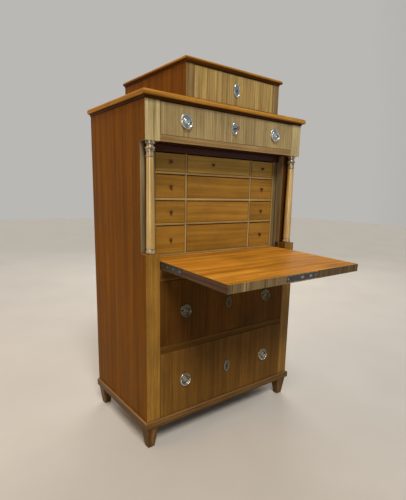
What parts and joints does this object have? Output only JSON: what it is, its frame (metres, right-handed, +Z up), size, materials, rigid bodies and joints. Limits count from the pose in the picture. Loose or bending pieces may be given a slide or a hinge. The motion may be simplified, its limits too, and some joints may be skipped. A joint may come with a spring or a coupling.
{
  "type": "escritoire",
  "caption": "Drop-front secretaire in golden-brown veneer: flap open on iron straps, columns, nest of small drawers, attic drawer and tapered feet.",
  "frame": {"origin": "On the floor, under the middle of the piece as it stands with its flap let down.", "axes": "+Z up, the front with the drawers and the flap towards -Y, +X to the right as one faces the front."},
  "size_m": [0.881, 0.8988, 1.56],
  "materials": {
    "case_wood": "polished walnut-brown side panels and mouldings, upright grain",
    "front_veneer": "golden-brown striped veneer with an old wax polish",
    "top_wood": "reddish-brown moulded boards, waxed",
    "flap_wood": "orange-brown writing surface, worn wax polish",
    "nest_wood": "warm brown small drawers, thin polish",
    "pale_wood": "pale secondary wood, dry and unpolished",
    "column_wood": "golden turned wood, polished",
    "plate_metal": "silvery plate, rubbed",
    "iron": "dark wrought iron, worn at the edges"
  },
  "bodies": {
    "carcass": {"side_left": "case_wood", "side_right": "case_wood", "back_boards": "pale_wood", "base_moulding": "case_wood", "feet": "case_wood", "lower_posts": "front_veneer", "frieze_blocks": "front_veneer", "front_rails": "front_veneer", "dust_boards": "pale_wood", "drawer_guides": "pale_wood", "desk_bed": "flap_wood", "jambs": "nest_wood", "pivot_plates": "iron", "columns": "column_wood", "cornice": "top_wood", "attic_case": "case_wood", "attic_top": "top_wood", "nest_shelves": "nest_wood", "nest_dividers": "nest_wood", "nest_case": "nest_wood", "flap_stop_lath": "nest_wood"},
    "flap": {"flap_panel": "flap_wood", "pivot_straps": "iron", "flap_lock": "iron"},
    "lower_drawer": {"lower_drawer_front": "front_veneer", "lower_drawer_box": "pale_wood", "lower_drawer_lock": "plate_metal", "lower_drawer_rosettes": "plate_metal"},
    "upper_drawer": {"upper_drawer_front": "front_veneer", "upper_drawer_box": "pale_wood", "upper_drawer_lock": "plate_metal", "upper_drawer_rosettes": "plate_metal"},
    "frieze_drawer": {"frieze_drawer_front": "front_veneer", "frieze_drawer_box": "pale_wood", "frieze_drawer_lock": "plate_metal", "frieze_drawer_rosettes": "plate_metal"},
    "attic_drawer": {"attic_drawer_front": "front_veneer", "attic_drawer_box": "pale_wood", "attic_drawer_lock": "plate_metal"},
    "lower_drawer_bail_left": {"lower_drawer_bail_left": "plate_metal"},
    "lower_drawer_bail_right": {"lower_drawer_bail_right": "plate_metal"},
    "upper_drawer_bail_left": {"upper_drawer_bail_left": "plate_metal"},
    "upper_drawer_bail_right": {"upper_drawer_bail_right": "plate_metal"},
    "frieze_drawer_bail_left": {"frieze_drawer_bail_left": "plate_metal"},
    "frieze_drawer_bail_right": {"frieze_drawer_bail_right": "plate_metal"},
    "key": {"key": "iron"},
    "frieze_lock_bolt": {"frieze_lock_bolt": "iron"},
    "nest_drawer_1_left": {"nest_drawer_1_left": "nest_wood"},
    "nest_drawer_1_middle": {"nest_drawer_1_middle": "nest_wood"},
    "nest_drawer_1_right": {"nest_drawer_1_right": "nest_wood"},
    "nest_drawer_2_left": {"nest_drawer_2_left": "nest_wood"},
    "nest_drawer_2_middle": {"nest_drawer_2_middle": "nest_wood"},
    "nest_drawer_2_right": {"nest_drawer_2_right": "nest_wood"},
    "nest_drawer_3_left": {"nest_drawer_3_left": "nest_wood"},
    "nest_drawer_3_middle": {"nest_drawer_3_middle": "nest_wood"},
    "nest_drawer_3_right": {"nest_drawer_3_right": "nest_wood"},
    "nest_drawer_4_left": {"nest_drawer_4_left": "nest_wood"},
    "nest_drawer_4_middle": {"nest_drawer_4_middle": "nest_wood"},
    "nest_drawer_4_right": {"nest_drawer_4_right": "nest_wood"}
  },
  "joints": [
    {"name": "flap_hinge", "type": "hinge", "parent": "carcass", "child": "flap", "pos_m": [0, 0.00988, 0.7873], "axis": [1, 0, 0], "range_deg": [-92.15, 0]},
    {"name": "lower_drawer_slide", "type": "slide", "parent": "carcass", "child": "lower_drawer", "axis": [0, -1, 0], "range_m": [0, 0.32]},
    {"name": "upper_drawer_slide", "type": "slide", "parent": "carcass", "child": "upper_drawer", "axis": [0, -1, 0], "range_m": [0, 0.32]},
    {"name": "frieze_drawer_slide", "type": "slide", "parent": "carcass", "child": "frieze_drawer", "axis": [0, -1, 0], "range_m": [0, 0.28]},
    {"name": "attic_drawer_slide", "type": "slide", "parent": "carcass", "child": "attic_drawer", "axis": [0, -1, 0], "range_m": [0, 0.26]},
    {"name": "lower_drawer_bail_left_swing", "type": "hinge", "parent": "lower_drawer", "child": "lower_drawer_bail_left", "pos_m": [-0.238, -0.05302, 0.2705], "axis": [-1, 0, 0], "range_deg": [0, 95]},
    {"name": "lower_drawer_bail_right_swing", "type": "hinge", "parent": "lower_drawer", "child": "lower_drawer_bail_right", "pos_m": [0.238, -0.05302, 0.2705], "axis": [-1, 0, 0], "range_deg": [0, 95]},
    {"name": "upper_drawer_bail_left_swing", "type": "hinge", "parent": "upper_drawer", "child": "upper_drawer_bail_left", "pos_m": [-0.238, -0.05302, 0.58125], "axis": [-1, 0, 0], "range_deg": [0, 95]},
    {"name": "upper_drawer_bail_right_swing", "type": "hinge", "parent": "upper_drawer", "child": "upper_drawer_bail_right", "pos_m": [0.238, -0.05302, 0.58125], "axis": [-1, 0, 0], "range_deg": [0, 95]},
    {"name": "frieze_drawer_bail_left_swing", "type": "hinge", "parent": "frieze_drawer", "child": "frieze_drawer_bail_left", "pos_m": [-0.245, -0.05302, 1.331], "axis": [-1, 0, 0], "range_deg": [0, 95]},
    {"name": "frieze_drawer_bail_right_swing", "type": "hinge", "parent": "frieze_drawer", "child": "frieze_drawer_bail_right", "pos_m": [0.245, -0.05302, 1.331], "axis": [-1, 0, 0], "range_deg": [0, 95]},
    {"name": "key_turn", "type": "hinge", "parent": "frieze_drawer", "child": "key", "pos_m": [0, -0.04562, 1.331], "axis": [0, 1, 0], "range_deg": [0, 180]},
    {"name": "frieze_bolt_slide", "type": "slide", "parent": "frieze_drawer", "child": "frieze_lock_bolt", "axis": [0, 0, 1], "range_m": [0, 0.009]},
    {"name": "nest_drawer_1_left_slide", "type": "slide", "parent": "carcass", "child": "nest_drawer_1_left", "axis": [0, -1, 0], "range_m": [0, 0.2]},
    {"name": "nest_drawer_1_middle_slide", "type": "slide", "parent": "carcass", "child": "nest_drawer_1_middle", "axis": [0, -1, 0], "range_m": [0, 0.2]},
    {"name": "nest_drawer_1_right_slide", "type": "slide", "parent": "carcass", "child": "nest_drawer_1_right", "axis": [0, -1, 0], "range_m": [0, 0.2]},
    {"name": "nest_drawer_2_left_slide", "type": "slide", "parent": "carcass", "child": "nest_drawer_2_left", "axis": [0, -1, 0], "range_m": [0, 0.2]},
    {"name": "nest_drawer_2_middle_slide", "type": "slide", "parent": "carcass", "child": "nest_drawer_2_middle", "axis": [0, -1, 0], "range_m": [0, 0.2]},
    {"name": "nest_drawer_2_right_slide", "type": "slide", "parent": "carcass", "child": "nest_drawer_2_right", "axis": [0, -1, 0], "range_m": [0, 0.2]},
    {"name": "nest_drawer_3_left_slide", "type": "slide", "parent": "carcass", "child": "nest_drawer_3_left", "axis": [0, -1, 0], "range_m": [0, 0.2]},
    {"name": "nest_drawer_3_middle_slide", "type": "slide", "parent": "carcass", "child": "nest_drawer_3_middle", "axis": [0, -1, 0], "range_m": [0, 0.2]},
    {"name": "nest_drawer_3_right_slide", "type": "slide", "parent": "carcass", "child": "nest_drawer_3_right", "axis": [0, -1, 0], "range_m": [0, 0.2]},
    {"name": "nest_drawer_4_left_slide", "type": "slide", "parent": "carcass", "child": "nest_drawer_4_left", "axis": [0, -1, 0], "range_m": [0, 0.2]},
    {"name": "nest_drawer_4_middle_slide", "type": "slide", "parent": "carcass", "child": "nest_drawer_4_middle", "axis": [0, -1, 0], "range_m": [0, 0.2]},
    {"name": "nest_drawer_4_right_slide", "type": "slide", "parent": "carcass", "child": "nest_drawer_4_right", "axis": [0, -1, 0], "range_m": [0, 0.2]}
  ],
  "couplings": [
    {"joint": "key_turn", "follows": "frieze_bolt_slide", "rad_per_m": 349.06}
  ]
}
